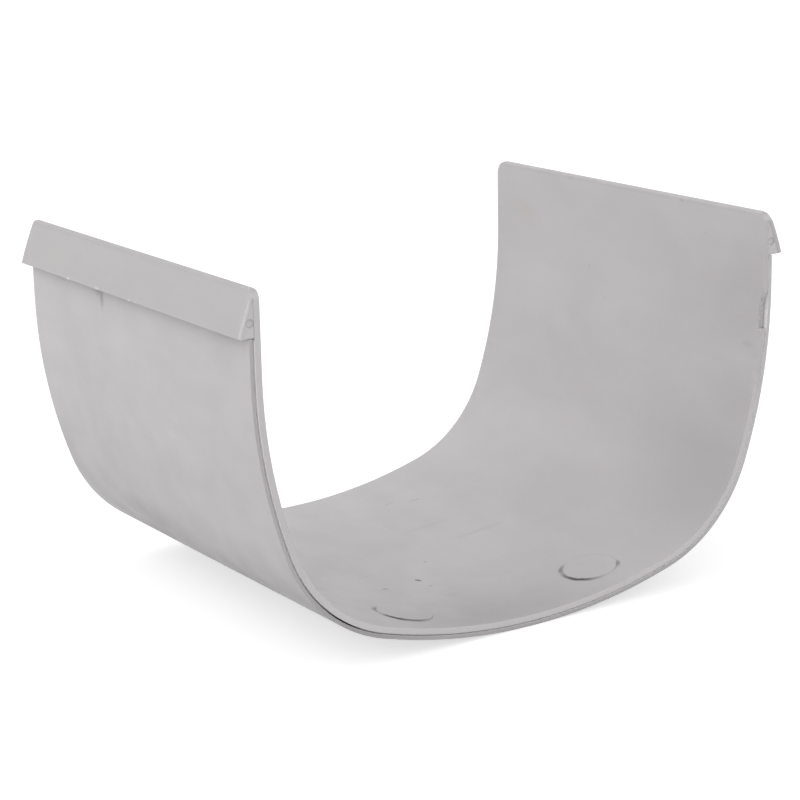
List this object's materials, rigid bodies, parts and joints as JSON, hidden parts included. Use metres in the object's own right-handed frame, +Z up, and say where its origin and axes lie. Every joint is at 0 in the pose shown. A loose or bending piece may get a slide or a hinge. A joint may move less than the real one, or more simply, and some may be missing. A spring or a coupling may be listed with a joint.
{
  "type": "gutter union",
  "caption": "U-shaped gutter union: a thin grey plastic saddle with fold-over lips along its top edges and a backing sheet that bears on the gutter.",
  "frame": {"origin": "centre of the bounding box in plan, on the surface that the union stands on, under the middle of the trough", "axes": "+X across the trough, +Y along the gutter away from the near end that has the chip, +Z up towards the lips"},
  "size_m": [0.1558, 0.1124, 0.0923],
  "materials": {
    "grey_plastic": "satin, slightly rubbed",
    "backing_plastic": "satin"
  },
  "bodies": {
    "root": {"saddle": "grey_plastic", "backing_sheet": "backing_plastic"}
  },
  "joints": []
}
